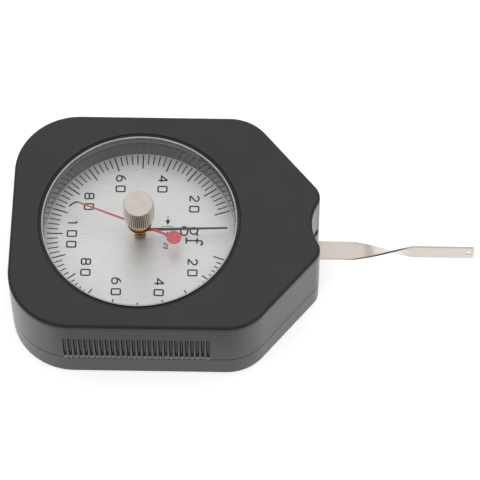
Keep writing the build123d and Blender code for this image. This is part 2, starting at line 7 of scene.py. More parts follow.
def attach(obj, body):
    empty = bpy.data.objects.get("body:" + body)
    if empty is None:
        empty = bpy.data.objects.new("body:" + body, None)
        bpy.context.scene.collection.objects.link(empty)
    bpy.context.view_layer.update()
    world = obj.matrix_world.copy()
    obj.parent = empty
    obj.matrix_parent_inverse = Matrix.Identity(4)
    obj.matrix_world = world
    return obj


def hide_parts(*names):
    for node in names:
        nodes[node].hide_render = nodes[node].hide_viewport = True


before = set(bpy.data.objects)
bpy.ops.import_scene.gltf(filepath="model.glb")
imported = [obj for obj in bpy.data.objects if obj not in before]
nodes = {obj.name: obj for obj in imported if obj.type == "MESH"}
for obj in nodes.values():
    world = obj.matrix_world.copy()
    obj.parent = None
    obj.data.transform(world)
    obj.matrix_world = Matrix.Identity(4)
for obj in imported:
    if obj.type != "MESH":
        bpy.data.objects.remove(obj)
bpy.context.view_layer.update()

MM = 0.001                   # metres in a millimetre

# ------------------------------------------------------------------ sizes, millimetres
DIAL_FACE = 16.2             # heights are from the flat back
INK_LIFT = 0.02              # printed marks above the dial, so that they don't share its plane

PARTING = 7.5                # height of the joint between the case's halves
CASE_FACE = 24.0
CASE_SIDE = 31.7             # from the middle to each long side
EDGE_DROP = (0.45, 0.3)      # painted shade on the round of the face's edge: its middle below the face, and half height
STEP_DROP = (1.45, 0.1)      # fine line of painted shade under that round
FLANK_DROP = 4.0             # below the face, from where the painted shade on the long sides is darkest
FLANK_ROUND = 1.2            # how far in from the long sides that reaches, round the corners
GRIP_TOP = 17.6              # height where the ribs' painted highlight ends
GRIP_HALF_LENGTH = 18.8
GRIP_HIGHLIGHT = (0.12, 0.04)     # in from the ribs' faces, where the painted highlight starts and is full
WELL_GLOSS_RADIUS = 25.8     # out to where the well's gloss reaches
WELL_GLOSS_DEPTH = 1.0       # below the dial's face
WELL_FACE_RADIUS = 26.6      # from where the case's outer edges are shaded
REBATE_RADIUS = 26.15        # wall of the rebate round the window
REBATE_DEPTH = 1.7
RING_BRIGHT_RADIUS = 25.2    # out to where the ring is bright; past it, painted black as painted shade

LEVER_AXIS = 9.35            # height of the lever's middle
LEVER_HALF_WIDTH = 2.6
LEVER_EDGE = (0.07, 0.03)    # in from the strip's edge, where its painted shade starts and is full
LEVER_TWIST = (61.5, 5.0, 4.0)         # middle, half length and fading length of the edge's darkest painted shade

TICK_OUTER = 24.3            # radii of the marks' ends
TICK_MAJOR_INNER = 20.14
TICK_MINOR_INNER = 21.4
TICK_MAJOR_WIDTH = 0.36
TICK_MINOR_WIDTH = 0.3
GRAM_ANGLE = 1.8             # degrees of dial for one gram-force
FIRST_MARK = 10
LAST_MARK = 100
MARK_STEP = 2
MAJOR_STEP = 10

DIGIT_WIDTH = 1.68           # along the reading direction, between stroke centres
DIGIT_HEIGHT = 2.3
DIGIT_STROKE = 0.4
DIGIT_PITCH = 3.2
DIGIT_CORNER = 0.3
PAIR_PLACES = {"20": (13.84, 9.53), "40": (5.33, 15.46), "60": (-5.66, 15.38), "80": (-13.74, 9.83)}
HUNDRED_PLACE = (-17.8, 0.03)
MITRE_LIMIT = 0.35           # least cosine that lengthens a stroke's corner

UNIT_STROKE = 0.42
UNIT_G_PLACE = (12.7, 1.2)
UNIT_F_PLACE = (14.1, -1.55)
DIVISION_X = 7.05            # middle of the two lines, and below their places along Y and half length
DIVISION_LINES = (2.63, 1.47)
DIVISION_HALF = 1.5
DIVISION_ARROW = (0.35, 1.5, 1.2)      # gap to the line, head's length, shaft's length
DIVISION_HEAD_HALF = 0.66
DIVISION_STROKE = 0.22
DIVISION_LINE_STROKE = 0.154
DIVISION_LABEL = (6.8, -2.75)
DIVISION_LABEL_SCALE = 0.42
DIVISION_LABEL_PITCH = 1.0
DIVISION_LABEL_SLANT = 0.25

SCREW_SPOTS = [(-25.6, -23.6), (-25.6, 23.6), (36.0, -16.5), (36.0, 16.5)]
SCREW_HEAD_FACE = 0.4        # heights of the head's outer face, of its seat and of the far end
SCREW_SEAT = 1.6
SCREW_END = 12.0
SCREW_RADIUS = 0.95
SCREW_POINT = 0.3            # chamfer at the end
SCREW_HEAD_RADIUS = 1.8
SCREW_HEAD_EDGE = 0.35
SCREW_COLUMNS = 96
SCREW_FACE_RINGS = 24
SCREW_EDGE_RINGS = 5
CROSS_DEPTH = 0.7
CROSS_ARM = 1.15
CROSS_HALF = 0.28
CROSS_SLOPE = 0.12           # how far the recess's walls lean in

KNOB_RADIUS = 3.95
KNOB_FOOT = 25.5
KNOB_TOP = 32.1
KNOB_RIDGES = 44
KNOB_RIDGE_STEPS = 6
KNOB_RIDGE_DEPTH = 0.4
KNOB_CHAMFER = 0.2
KNOB_CHAMFER_RINGS = 7
KNOB_GROOVE_DARK = (0.32, 0.14)    # in from the crests, where the groove darkening is full and where it ends

PEAK_ANGLE = 158.2                     # degrees from the resting black pointer
PEAK_HUB = (2.3, 20.55, 20.85)         # radius, underside and top
PEAK_THICKNESS = 0.3
PEAK_LOW = 20.7                        # middle of the strip at the hub
PEAK_HIGH = 21.4                       # middle of the strip past its crank
PEAK_START = 1.4                       # the strip's hidden end, under the hub's rim
PEAK_CRANK = (3.15, 3.6)               # where the strip rises, from the axis
PEAK_CRANK_STEPS = 7
PEAK_MIDDLE = 10.0                     # halfway along the level stretch
PEAK_BEND = 17.2                       # where the hook starts
PEAK_BLACK = 17.5                      # from where the hook is all black
PEAK_ROOT_WIDTH = 0.5
PEAK_TIP_WIDTH = 0.34
PEAK_TAIL_WIDTH = 0.6
PEAK_HOOK = [(17.75, 0.0, 21.25), (18.3, 0.02, 20.75), (18.8, 0.08, 20.1), (19.15, 0.25, 19.65),
             (19.45, 0.6, 19.5), (19.6, 1.05, 19.5)]      # along, aside and height
PEAK_TAIL_ORBIT = 9.7
PEAK_TAIL_RADIUS = 1.9
PEAK_TAIL_PROUD = 0.03                 # tail disc past the strip on each face
PEAK_BEVEL = 0.05
PEAK_COLUMNS = 64

# ------------------------------------------------------------------ camera, millimetres
VIEW_RIGHT = (0.99987, 0.01598, 0.00199)
VIEW_DOWN = (0.01487, -0.86829, -0.49584)
VIEW_FORWARD = (-0.00619, 0.4958, -0.86841)
CAMERA_PLACE = (29.94, -321.17, 576.73)
SENSOR = 36.0
LENS = 186.458
CLIP = (0.01, 20.0)          # metres

# ------------------------------------------------------------------ floor and lamps, metres and watts
FLOOR_SIZE = 3.0
FLOOR_GAP = 0.05             # millimetres below the case, so that they don't share a plane
FLOOR_GLOW = 0.55            # what the floor shows the camera beyond its own colour
AMBIENT = 1.0
BACK_LAMP = ((-0.1, 1.0, 1.3), 1.8, 3.0)         # place, side and power
SIDE_LAMP = ((1.2, -0.3, 1.0), 1.2, 1.4)
CRYSTAL_IOR = 1.34


def add_camera():
    """Camera whose axes are the view's right, up and back directions."""
    data = bpy.data.cameras.new("view")
    data.sensor_width = SENSOR
    data.lens = LENS
    data.clip_start, data.clip_end = CLIP
    place = np.eye(4)
    place[:3, :3] = np.array([VIEW_RIGHT, -np.array(VIEW_DOWN), -np.array(VIEW_FORWARD)]).T
    place[:3, 3] = np.array(CAMERA_PLACE) * MM
    eye = bpy.data.objects.new("view", data)
    eye.matrix_world = Matrix(place.tolist())
    bpy.context.scene.collection.objects.link(eye)
    bpy.context.scene.camera = eye


# ------------------------------------------------------------------ shader networks
def grey(value):
    """Colour without a tint."""
    return value, value, value


def opaque(colour):
    """A colour's three parts as the four that a socket takes; a node's output stays as it is."""
    return colour if isinstance(colour, bpy.types.NodeSocket) else (*colour, 1.0)


class Net:
    """Node tree of a material or the world, with short ways to add and join its nodes."""

    def __init__(self, tree):
        self.tree = tree
        tree.nodes.clear()

    def add(self, kind, inputs=None, **settings):
        """New shader node; inputs maps a socket's name or number to a value or another node's output."""
        node = self.tree.nodes.new("ShaderNode" + kind)
        for key, value in settings.items():
            setattr(node, key, value)
        for key, value in (inputs or {}).items():
            if isinstance(value, bpy.types.NodeSocket):
                self.tree.links.new(value, node.inputs[key])
            else:
                node.inputs[key].default_value = value
        return node

    def math(self, operation, *values, clamp=False):
        """Arithmetic on values or outputs."""
        return self.add("Math", dict(enumerate(values)), operation=operation, use_clamp=clamp).outputs[0]

    def place(self):
        """Point on the object in millimetres."""
        raw = self.add("TexCoord").outputs["Object"]
        return self.add("VectorMath", {0: raw, "Scale": 1 / MM}, operation="SCALE").outputs[0]

    def axes(self, place):
        """X, Y and Z of a point or a direction."""
        return self.add("SeparateXYZ", {0: place}).outputs

    def reach(self, x, y):
        """Distance from an axis, from the two offsets square to it."""
        flat = self.add("CombineXYZ", {0: x, 1: y}).outputs[0]
        return self.add("VectorMath", {0: flat}, operation="LENGTH").outputs["Value"]

    def radius(self, place):
        """Distance of a point from the dial's axis."""
        x, y, _ = self.axes(place)
        return self.reach(x, y)

    def product(self, first, *others):
        """Shares multiplied together."""
        for other in others:
            first = self.math("MULTIPLY", first, other)
        return first

    def largest(self, first, *others):
        """The largest of several shares."""
        for other in others:
            first = self.math("MAXIMUM", first, other)
        return first

    def rings(self, radius, count, height=None):
        """Fine turned rings, count of them to a millimetre of radius and of height."""
        lathe = {0: self.product(radius, count)}
        if height is not None:
            lathe[1] = self.product(height, count)
        return self.noise(self.add("CombineXYZ", lathe).outputs[0], 1.6, 3.0)

    def noise(self, place, scale, detail=2.0):
        """Cloudy value from 0 to 1; scale is features per millimetre."""
        return self.add("TexNoise", {"Vector": place, "Scale": scale, "Detail": detail}).outputs["Fac"]

    def stretched(self, place, scales):
        """Place with each axis scaled, for streaks."""
        return self.add("VectorMath", {0: place, 1: scales}, operation="MULTIPLY").outputs[0]

    def spread(self, value, low, high, start=0.0, end=1.0):
        """Value carried from one range to another, held at the ends."""
        return self.add("MapRange", {"Value": value, "From Min": low, "From Max": high, "To Min": start,
                                     "To Max": end}).outputs[0]

    def vary(self, cloud, low=0.0, high=1.0):
        """Cloudy value carried to a range and held at its ends."""
        return self.spread(cloud, 0.3, 0.7, low, high)

    def past(self, value, limit, soft):
        """0 up to a limit, 1 past it, with a soft edge."""
        return self.spread(value, limit, limit + soft)

    def within(self, value, limit, soft):
        """1 up to a limit, 0 past it, with a soft edge."""
        return self.spread(value, limit, limit + soft, 1.0, 0.0)

    def band(self, value, middle, half, soft):
        """1 inside a band round a middle value, 0 outside, with soft edges."""
        return self.within(self.math("ABSOLUTE", self.math("SUBTRACT", value, middle)), half, soft)

    def tone(self, share, one, other):
        """Colour between two colours."""
        return self.add("Mix", {0: share, 6: opaque(one), 7: opaque(other)}, data_type="RGBA").outputs[2]

    def blend(self, share, one, other):
        """Number between two numbers."""
        return self.add("Mix", {0: share, 2: one, 3: other}, data_type="FLOAT").outputs[0]

    def bump(self, height, depth):
        """Surface relief from a height between 0 and 1; depth is in millimetres."""
        return self.add("Bump", {"Height": height, "Distance": depth * MM}).outputs[0]

    def coat(self, colour, rough, metal=0.0, relief=None, **more):
        """Standard surface; colour and roughness may be values or outputs."""
        inputs = {"Base Color": opaque(colour), "Roughness": rough, "Metallic": metal}
        if relief is not None:
            inputs["Normal"] = relief
        inputs.update(more)
        return self.add("BsdfPrincipled", inputs).outputs[0]

    def merge(self, share, one, other):
        """Surface between two surfaces."""
        return self.add("MixShader", {0: share, 1: one, 2: other}).outputs[0]

    def seen(self):
        """1 for what the camera sees, itself or in a mirror or glass, and 0 for what only lights."""
        path = self.add("LightPath").outputs
        straight = self.math("ADD", path["Is Camera Ray"], path["Is Glossy Ray"])
        return self.math("ADD", straight, path["Is Transmission Ray"], clamp=True)

    def end(self, surface, kind="OutputMaterial"):
        """Joins the surface to the output."""
        self.add(kind, {"Surface": surface})


def material(name, build):
    """New material whose network is made by a function of its Net."""
    made = bpy.data.materials.new(name)
    made.use_nodes = True
    net = Net(made.node_tree)
    net.end(build(net))
    return made


# ------------------------------------------------------------------ materials
def case_plastic(net):
    """Black moulding with a fine spark-eroded grain: glossy in the well and dark in the joint's line,
    with painted highlights on the window's ledge, on the grips' ribs and on the ledge at their foot,
    and painted shade high on the long sides, round the face's edge, in a fine line under it and in the
    window's rebate."""
    place = net.place()
    x, y, z = net.axes(place)
    radius = net.radius(place)
    aside = net.math("ABSOLUTE", y)
    facing = net.axes(net.add("NewGeometry").outputs["Normal"])[2]
    level = net.past(facing, 0.6, 0.2)
    grain = net.noise(place, 5.0, 3.0)
    cloud = net.spread(net.noise(place, 0.09, 3.0), 0.35, 0.65)
    fleck = net.spread(net.noise(place, 1.3, 4.0), 0.62, 0.78)
    base = net.tone(cloud, (0.0095, 0.0095, 0.01), (0.0125, 0.0125, 0.0125))
    base = net.tone(net.product(fleck, 0.25), base, (0.035, 0.034, 0.033))
    well = net.product(net.within(radius, WELL_GLOSS_RADIUS, 0.1),
                       net.past(z, DIAL_FACE - WELL_GLOSS_DEPTH, 0.1))
    base = net.tone(well, base, grey(0.05))
    # painted highlight: the level ledge along the joint, at the grips' foot, is painted pale grey
    base = net.tone(net.product(net.band(z, PARTING, 0.05, 0.03), level), base, grey(0.8))
    # painted highlight: level surfaces in the well, the window's ledge among them, are painted paler,
    # lifting the shade under the ring
    base = net.tone(net.product(well, level), base, grey(0.28))
    # painted highlight: the outer faces of the grips' ribs are painted lighter grey
    highlight_start, highlight_full = GRIP_HIGHLIGHT
    rib_highlight = net.product(net.spread(aside, CASE_SIDE - highlight_start, CASE_SIDE - highlight_full),
                         net.band(x, 0.0, GRIP_HALF_LENGTH, 0.1),
                         net.band(z, (PARTING + GRIP_TOP) / 2, (GRIP_TOP - PARTING) / 2, 0.1))
    base = net.tone(rib_highlight, base, grey(0.05))
    rough = net.blend(well, net.vary(grain, 0.22, 0.3), 0.12)
    relief = net.bump(net.product(net.math("SUBTRACT", 1.0, well), grain), 0.008)
    body = net.coat(base, rough, relief=relief, IOR=1.5)
    upright = net.within(net.math("ABSOLUTE", facing), 0.5, 0.2)
    joint = net.product(net.band(z, PARTING, 0.1, 0.08), upright)
    # painted shade: a dark band on the round of the face's edge, and a fine dark line under it
    (step_drop, step_half), (edge_drop, edge_half) = STEP_DROP, EDGE_DROP
    step = net.product(net.band(z, CASE_FACE - step_drop, step_half, 0.15), 0.55)
    edge = net.product(net.band(z, CASE_FACE - edge_drop, edge_half, 0.15), 0.4)
    rim = net.product(net.largest(step, edge), net.past(radius, WELL_FACE_RADIUS, 0.5))
    # painted shade in the window's rebate: its walls go dark
    rebate = net.product(net.band(radius, REBATE_RADIUS, 0.12, 0.05),
                         net.past(z, CASE_FACE - REBATE_DEPTH, 0.1),
                         net.math("SUBTRACT", 1.0, net.past(facing, 0.3, 0.3)))
    # painted shade: the long sides go darker towards the face
    flank = net.product(net.spread(aside, CASE_SIDE - FLANK_ROUND, CASE_SIDE),
                        net.spread(z, PARTING, CASE_FACE - FLANK_DROP, 0.0, 0.28))
    # near-black for the dark joint line and for the painted shade of the rim, the rebate and the long sides
    dark = net.add("BsdfDiffuse", {"Color": opaque(grey(0.006))}).outputs[0]
    return net.merge(net.largest(joint, rim, rebate, flank), body, dark)


def dial_silver(net):
    """Satin silver plate brushed along X, with a fine grain and faint longer streaks."""
    place = net.place()
    streak = net.noise(net.stretched(place, (0.35, 6.0, 6.0)), 1.0, 4.0)
    mottle = net.noise(net.stretched(place, (0.3, 2.4, 2.4)), 1.0, 3.0)
    cloud = net.spread(net.noise(place, 0.16, 3.0), 0.35, 0.65)
    base = net.tone(cloud, (0.80, 0.80, 0.795), (0.83, 0.83, 0.825))
    base = net.tone(net.vary(streak, 0.0, 0.5), base, (0.89, 0.89, 0.885))
    base = net.tone(net.vary(mottle, 0.0, 0.35), base, (0.62, 0.62, 0.615))
    rough = net.vary(net.noise(place, 9.0, 2.0), 0.46, 0.54)
    across = net.add("CombineXYZ", {1: 1.0}).outputs[0]
    return net.coat(base, rough, 0.85, net.bump(streak, 0.0008), Anisotropic=0.6, Tangent=across)


def ink(net):
    """Matt black printing ink, slightly uneven."""
    place = net.place()
    base = net.tone(net.noise(place, 9.0, 2.0), (0.008, 0.008, 0.009), (0.02, 0.02, 0.021))
    return net.coat(base, net.vary(net.noise(place, 5.0), 0.55, 0.7), IOR=1.3)


def turned(dark, light, low, high):
    """Function that makes turned metal: fine rings round an upright axis, over and around the piece."""
    def build(net):
        place = net.place()
        groove = net.rings(net.radius(place), 5.0, net.axes(place)[2])
        base = net.tone(net.vary(net.noise(place, 0.35, 3.0)), dark, light)
        return net.coat(base, net.vary(groove, low, high), 1.0, net.bump(groove, 0.006))
    return build


def rolled(dark, light, low, high):
    """Function that makes rolled metal: straight brushing along X."""
    def build(net):
        place = net.place()
        streak = net.noise(net.stretched(place, (0.2, 5.0, 5.0)), 1.0, 3.0)
        base = net.tone(net.vary(net.noise(place, 0.25, 3.0)), dark, light)
        return net.coat(base, net.vary(streak, low, high), 1.0, net.bump(streak, 0.004))
    return build


def lever_steel(net):
    """Rolled strip steel: fine streaks along its length, a few scuffs, and painted shade on its edges,
    which are darker than its faces and darkest in the twist as a painted dark reflection."""
    place = net.place()
    x, y, z = net.axes(place)
    aside = net.reach(y, net.math("SUBTRACT", z, LEVER_AXIS))
    edge_start, edge_full = LEVER_EDGE
    edge = net.spread(aside, LEVER_HALF_WIDTH - edge_start, LEVER_HALF_WIDTH - edge_full)
    streak = net.noise(net.stretched(place, (0.12, 7.0, 7.0)), 1.0, 4.0)
    scuff = net.spread(net.noise(net.stretched(place, (0.5, 1.3, 1.3)), 1.0, 4.0), 0.55, 0.72)
    base = net.tone(net.vary(streak), (0.58, 0.53, 0.475), (0.63, 0.575, 0.52))
    # painted shade on the strip's edges, darkest in the twist as a painted dark reflection
    edge_shade = net.tone(net.band(x, *LEVER_TWIST), (0.47, 0.43, 0.38), (0.15, 0.12, 0.095))
    rough = net.math("ADD", net.vary(streak, 0.18, 0.26), net.product(scuff, 0.1))
    return net.coat(net.tone(edge, base, edge_shade), rough, 1.0, net.bump(streak, 0.002))


def knob_nickel(net):
    """Warm nickel plate, turned on its ends, darker in the bottoms of the knurl's grooves."""
    place = net.place()
    radius = net.radius(place)
    end = net.past(net.axes(place)[2], KNOB_TOP - 0.1, 0.05)
    dark_full, dark_end = KNOB_GROOVE_DARK
    crest = net.spread(radius, KNOB_RADIUS - dark_full, KNOB_RADIUS - dark_end)
    crest_or_end = net.largest(end, crest)
    plate = net.tone(net.vary(net.noise(place, 0.45, 3.0)), (0.53, 0.475, 0.43), (0.58, 0.525, 0.48))
    base = net.tone(crest_or_end, (0.12, 0.103, 0.092), net.tone(end, (0.88, 0.80, 0.73), plate))
    return net.coat(base, net.blend(crest_or_end, 0.5, 0.22), 1.0, net.bump(net.rings(radius, 3.0), 0.004))


def ring_metal(net):
    """Bright turned ring whose outer band is painted black, as painted shade of the gap round the ring."""
    place = net.place()
    radius = net.radius(place)
    groove = net.rings(radius, 8.0)
    bright = net.tone(net.vary(net.noise(place, 0.35, 3.0)), (0.33, 0.33, 0.327), (0.42, 0.42, 0.415))
    # painted shade: the ring's outer band is painted near-black
    base = net.tone(net.past(radius, RING_BRIGHT_RADIUS, 0.04), bright, grey(0.006))
    return net.coat(base, net.vary(groove, 0.24, 0.34), 1.0, net.bump(groove, 0.004))


def pointer_black(net):
    """Black baked paint on a pointer."""
    speck = net.noise(net.place(), 6.0, 3.0)
    base = net.tone(speck, (0.016, 0.018, 0.019), (0.026, 0.028, 0.029))
    return net.coat(base, net.vary(speck, 0.34, 0.46), relief=net.bump(speck, 0.003))


def pointer_red(net):
    """Red paint over the pointer, black from the bend to the tip."""
    place = net.place()
    speck = net.noise(place, 6.0, 3.0)
    red = net.tone(speck, (0.63, 0.09, 0.10), (0.69, 0.105, 0.115))
    base = net.tone(net.spread(net.radius(place), PEAK_BEND, PEAK_BLACK), red, (0.02, 0.02, 0.022))
    return net.coat(base, net.vary(speck, 0.4, 0.5), relief=net.bump(speck, 0.003))


def seal_black(net):
    """Black rubber with a faint moulded speckle."""
    speck = net.noise(net.place(), 8.0, 3.0)
    base = net.tone(speck, grey(0.006), grey(0.012))
    return net.coat(base, net.vary(speck, 0.6, 0.75), relief=net.bump(speck, 0.01))


def window(net):
    """Clear polished crystal: rays go straight through, and each face mirrors a little from either side."""
    haze = net.spread(net.noise(net.place(), 0.12, 3.0), 0.4, 0.7, 0.0, 0.03)
    mirror = net.add("BsdfGlossy", {"Roughness": haze}).outputs[0]
    clear = net.add("BsdfTransparent", {"Color": (0.998, 1.0, 0.999, 1.0)}).outputs[0]
    side = net.add("NewGeometry").outputs["Backfacing"]
    ratio = net.spread(side, 0.0, 1.0, CRYSTAL_IOR, 1 / CRYSTAL_IOR)
    return net.merge(net.add("Fresnel", {"IOR": ratio}).outputs[0], clear, mirror)


def studio_floor(net):
    """Pale floor that is white to the camera and in mirrors, and keeps the shadow."""
    matt = net.add("BsdfDiffuse", {"Color": opaque(grey(0.8))}).outputs[0]
    glow = net.add("Emission", {"Strength": net.product(net.seen(), FLOOR_GLOW)}).outputs[0]
    return net.add("AddShader", {0: matt, 1: glow}).outputs[0]


# ------------------------------------------------------------------ light
def add_light():
    """Even pale world and two soft lamps."""
    world = bpy.data.worlds.new("studio")
    bpy.context.scene.world = world
    world.use_nodes = True
    net = Net(world.node_tree)
    sky = net.add("Background", {"Color": opaque(grey(0.8)), "Strength": AMBIENT})
    net.end(sky.outputs[0], "OutputWorld")
    add_lamp("back_lamp", *BACK_LAMP)
    add_lamp("side_lamp", *SIDE_LAMP)


def add_lamp(name, place, size, power):
    """Square soft lamp aimed at the dial."""
    data = bpy.data.lights.new(name, "AREA")
    data.size = size
    data.energy = power
    lamp = bpy.data.objects.new(name, data)
    lamp.location = place
    lamp.rotation_euler = (-Vector(place)).to_track_quat("-Z", "Y").to_euler()
    bpy.context.scene.collection.objects.link(lamp)


def add_floor():
    """Large square floor just under the case."""
    half = FLOOR_SIZE / 2 / MM
    corners = [(x, y, -FLOOR_GAP) for x, y in ((-half, -half), (half, -half), (half, half), (-half, half))]
    floor = mesh_object("floor", corners, [np.array([(0, 1, 2, 3)])], material("floor", studio_floor))


# ------------------------------------------------------------------ meshes
def mesh_object(name, points, faces, finish):
    """Flat-shaded object from points in millimetres and arrays of faces, each row a face's corners."""
    mesh = bpy.data.meshes.new(name)
    mesh.from_pydata((np.asarray(points) * MM).tolist(), [], sum((block.tolist() for block in faces), []))
    mesh.materials.append(finish)
    mesh.shade_flat()
    mesh.update()
    made = bpy.data.objects.new(name, mesh)
    bpy.context.scene.collection.objects.link(made)
    return made


def strip(path, width, closed=False):
    """Flat strip of even width along a path: its two edges lie half the width off each point,
    along the mean of the normals before and after it, lengthened to keep the width at a corner."""
    path = np.asarray(path, float)
    ahead = np.roll(path, -1, axis=0) - path
    if not closed:
        ahead[-1] = ahead[-2]
    ahead /= np.linalg.norm(ahead, axis=1)[:, None]
    behind = np.roll(ahead, 1, axis=0)
    if not closed:
        behind[0] = ahead[0]
    mean = ahead + behind
    mean /= np.linalg.norm(mean, axis=1)[:, None]
    reach = width / 2 / np.clip((mean * ahead).sum(axis=1), MITRE_LIMIT, 1.0)
    across = np.stack([-mean[:, 1], mean[:, 0]], axis=1) * reach[:, None]
    count = len(path)
    first = np.arange(count if closed else count - 1)
    after = (first + 1) % count
    quads = np.stack([first + count, after + count, after, first], axis=1)
    return np.concatenate([path + across, path - across]), [quads]


def joined(parts):
    """Several meshes as one: the points in a row, and each mesh's faces moved on past those before."""
    starts = np.cumsum([0] + [len(points) for points, _ in parts])
    faces = [block + start for (_, blocks), start in zip(parts, starts) for block in blocks]
    return np.concatenate([points for points, _ in parts]), faces


def turned_faces(rows, columns):
    """Faces of a grid of rows round an axis, closed round it, with a fan to a middle point at each end.
    The points come row by row, then the first row's middle point and the last row's."""
    row, column = np.meshgrid(np.arange(rows - 1), np.arange(columns), indexing="ij")
    after = (column + 1) % columns
    here, above = row * columns, (row + 1) * columns
    quads = np.stack([here + column, here + after, above + after, above + column], axis=-1).reshape(-1, 4)
    here = np.arange(columns)
    after = (here + 1) % columns
    low, high = rows * columns, rows * columns + 1
    last = (rows - 1) * columns
    foot = np.stack([after, here, np.full(columns, low)], axis=1)
    top = np.stack([last + here, last + after, np.full(columns, high)], axis=1)
    return [quads, foot, top]


def turned_points(radius, height, angle, spot=(0.0, 0.0)):
    """Points at each radius and height of a grid and at the angles of its columns, and the two middles."""
    height = np.broadcast_to(height, radius.shape)
    grid = np.stack([spot[0] + radius * np.cos(angle), spot[1] + radius * np.sin(angle), height], axis=-1)
    ends = [(spot[0], spot[1], height[0, 0]), (spot[0], spot[1], height[-1, 0])]
    return np.concatenate([grid.reshape(-1, 3), ends])


def carried_bar(path, width, thickness):
    """Bar of rectangular section carried along a path of points: the width lies level and square to
    the path, the thickness square to both, and the ends are closed."""
    path = np.asarray(path, float)
    ahead = np.gradient(path, axis=0)
    ahead /= np.linalg.norm(ahead, axis=1)[:, None]
    across = np.stack([-ahead[:, 1], ahead[:, 0], np.zeros(len(path))], axis=1)
    across /= np.linalg.norm(across, axis=1)[:, None]
    up = np.cross(ahead, across) * thickness / 2
    across *= np.broadcast_to(width, len(path))[:, None] / 2
    corners = [path - across - up, path + across - up, path + across + up, path - across + up]
    points = np.stack(corners, axis=1)
    first = np.arange(len(path) - 1)[:, None] * 4
    side = np.arange(4)[None, :]
    after = (side + 1) % 4
    quads = np.stack([first + side, first + side + 4, first + after + 4, first + after], axis=-1)
    last = 4 * (len(path) - 1)
    ends = np.array([(0, 1, 2, 3), (last + 3, last + 2, last + 1, last)])
    return points.reshape(-1, 3), [quads.reshape(-1, 4), ends]


def print_on_dial(name, strips, finish):
    """Printed marks as one flat piece just above the dial."""
    points, faces = joined(strips)
    height = np.full((len(points), 1), DIAL_FACE + INK_LIFT)
    piece = mesh_object(name, np.hstack([points, height]), faces, finish)
    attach(piece, "case")


def bend(centre, across, up, start, end, count=9):
    """Points on an ellipse's arc between two angles in degrees."""
    angle = np.radians(np.linspace(start, end, count))
    return np.stack([centre[0] + across * np.cos(angle), centre[1] + up * np.sin(angle)], axis=1)


def rounded_box(low, high, radius):
    """Closed path round a box with rounded corners."""
    (x0, y0), (x1, y1) = low, high
    corners = [((x1 - radius, y1 - radius), 0), ((x0 + radius, y1 - radius), 90),
               ((x0 + radius, y0 + radius), 180), ((x1 - radius, y0 + radius), 270)]
    return np.concatenate([bend(spot, radius, radius, turn, turn + 90, 6) for spot, turn in corners])


def glyphs():
    """Strokes of each printed character round its own middle: lists of (path, closed). The figures are
    drawn in half widths w and half heights h, and the letters of the unit in millimetres."""
    w, h = DIGIT_WIDTH / 2, DIGIT_HEIGHT / 2
    six_tail = bend((0.75 * w, -0.25 * h), 1.75 * w, 1.25 * h, 180, 100)
    two_top = bend((0, 0.42 * h), 0.95 * w, 0.58 * h, 165, -32, 14)
    f_stem = np.concatenate([[(0.0, -2.1)], bend((0.72, 1.45), 0.72, 0.68, 180, 48)])
    small_tail = np.concatenate([[(0.75 * w, 0.7 * h)],
                                 bend((0.0, -0.8 * h), 0.75 * w, 0.55 * h, 0, -150)])
    return {
        "0": [(rounded_box((-w, -h), (w, h), DIGIT_CORNER), True)],
        "1": [([(0.0, -h), (0.0, h)], False), ([(0.05, h), (-0.55, 0.86 * h)], False)],
        "2": [(np.concatenate([two_top, [(-w, -h + 0.05)]]), False), ([(-w, -h), (w, -h)], False)],
        "4": [([(0.64 * w, 1.1 * h), (-w, -0.31 * h), (1.25 * w, -0.31 * h)], False),
              ([(0.64 * w, 1.1 * h), (0.64 * w, -1.06 * h)], False)],
        "6": [(rounded_box((-w, -h), (w, 0.2 * h), 0.62), True), (six_tail, False)],
        "8": [(rounded_box((-w, -h), (w, 0.0), 0.42), True),
              (rounded_box((-0.93 * w, 0.0), (0.93 * w, h), 0.42), True)],
        "g": [(bend((-0.15, 1.2), 0.98, 0.98, 0, 360, 25)[:-1], True),
              (bend((-0.05, -1.3), 1.3, 0.9, 0, 360, 29)[:-1], True),
              ([(-0.8, 0.5), (-1.08, 0.1), (-0.8, -0.32), (0.45, -0.5)], False),
              ([(0.55, 1.9), (0.95, 2.15), (1.4, 2.1)], False)],
        "f": [(f_stem, False), ([(-0.95, -2.1), (0.95, -2.1)], False),
              ([(-0.8, 0.72), (0.85, 0.72)], False),
              (bend((1.12, 1.85), 0.1, 0.1, 0, 360, 9)[:-1], True)],
        "small_g": [(rounded_box((-0.7 * w, -0.35 * h), (0.75 * w, 0.75 * h), 0.45), True),
                    (small_tail, False)],
    }


def set_glyph(strokes, place, width, scale=1.0, slant=0.0):
    """Strips of one character: it reads towards -Y and its top points to +X."""
    made = []
    for path, closed in strokes:
        across, up = (np.asarray(path, float) * scale).T
        across = across + up * slant
        spot = np.stack([place[0] + up, place[1] - across], axis=1)
        made.append(strip(spot, width, closed))
    return made


def scale_ticks():
    """Radial marks on both sides of +X, longer at each tenth gram-force."""
    marks = []
    for value in range(FIRST_MARK, LAST_MARK + 1, MARK_STEP):
        major = value % MAJOR_STEP == 0
        inner = TICK_MAJOR_INNER if major else TICK_MINOR_INNER
        width = TICK_MAJOR_WIDTH if major else TICK_MINOR_WIDTH
        for side in (1, -1) if value < LAST_MARK else (1,):
            angle = radians(side * value * GRAM_ANGLE)
            ray = np.array([cos(angle), sin(angle)])
            marks.append(strip([ray * inner, ray * TICK_OUTER], width))
    return marks


